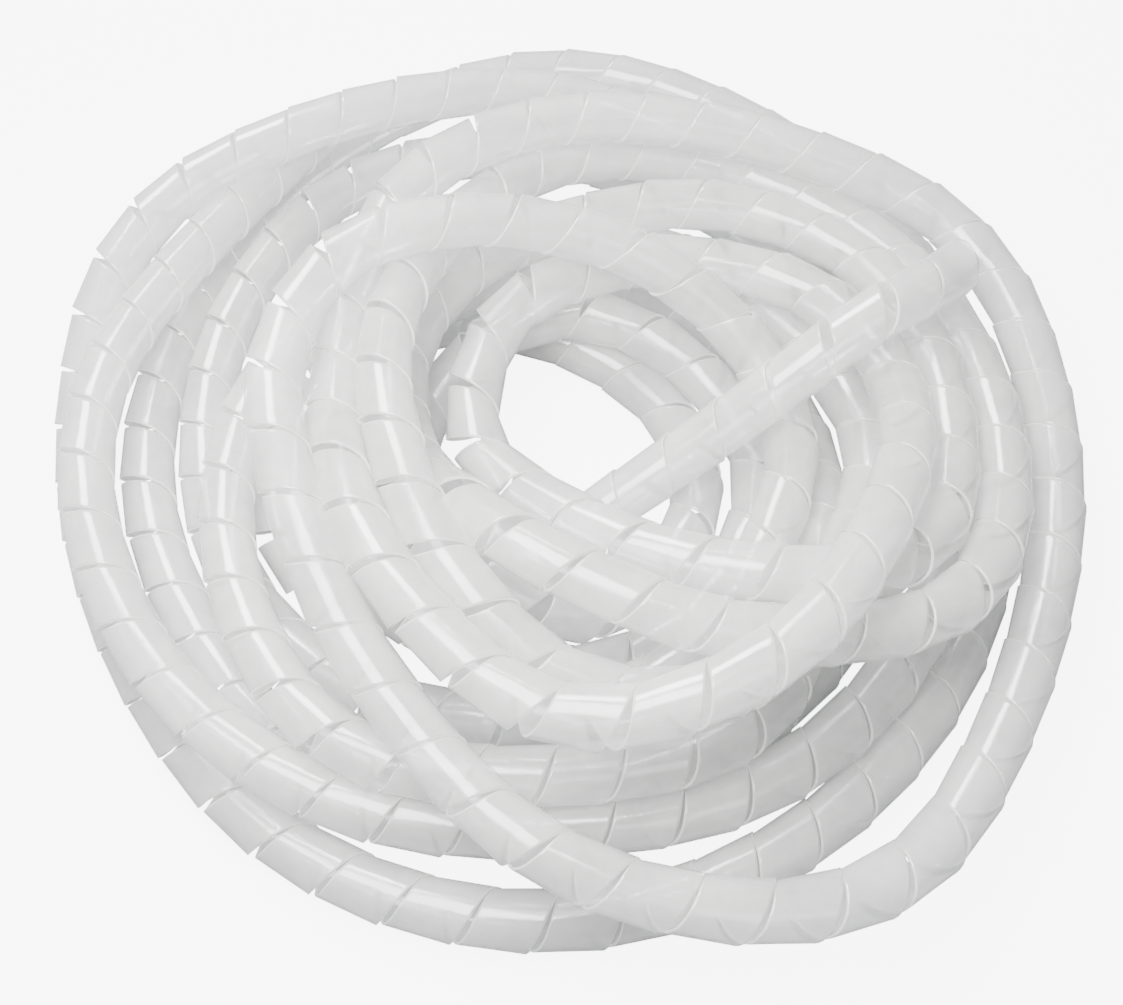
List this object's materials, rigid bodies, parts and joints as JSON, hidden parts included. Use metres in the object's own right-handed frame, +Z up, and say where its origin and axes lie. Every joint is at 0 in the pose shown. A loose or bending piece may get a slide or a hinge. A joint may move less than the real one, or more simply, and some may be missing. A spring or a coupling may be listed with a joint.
{
  "type": "tree guard tube",
  "caption": "Long soft plastic tree guard tube with a spiral slit, lying in a loose heap of turns with one open end on top.",
  "frame": {"origin": "on the ground, under the middle of the heap's box", "axes": "+Z up, square to the ground; +X to the right and +Y to the back as the heap is shown, with the open end pointing to +X and +Y"},
  "size_m": [0.4482, 0.4752, 0.1099],
  "materials": {
    "guard_plastic": "natural translucent polyethylene with a soft gloss"
  },
  "bodies": {
    "root": {"turn_01": "guard_plastic", "turn_02": "guard_plastic", "turn_03": "guard_plastic", "turn_04": "guard_plastic", "turn_05": "guard_plastic", "turn_06": "guard_plastic", "turn_07": "guard_plastic", "turn_08": "guard_plastic", "turn_09": "guard_plastic", "turn_10": "guard_plastic", "turn_11": "guard_plastic", "turn_12": "guard_plastic", "turn_13": "guard_plastic", "free_end": "guard_plastic"}
  },
  "joints": []
}
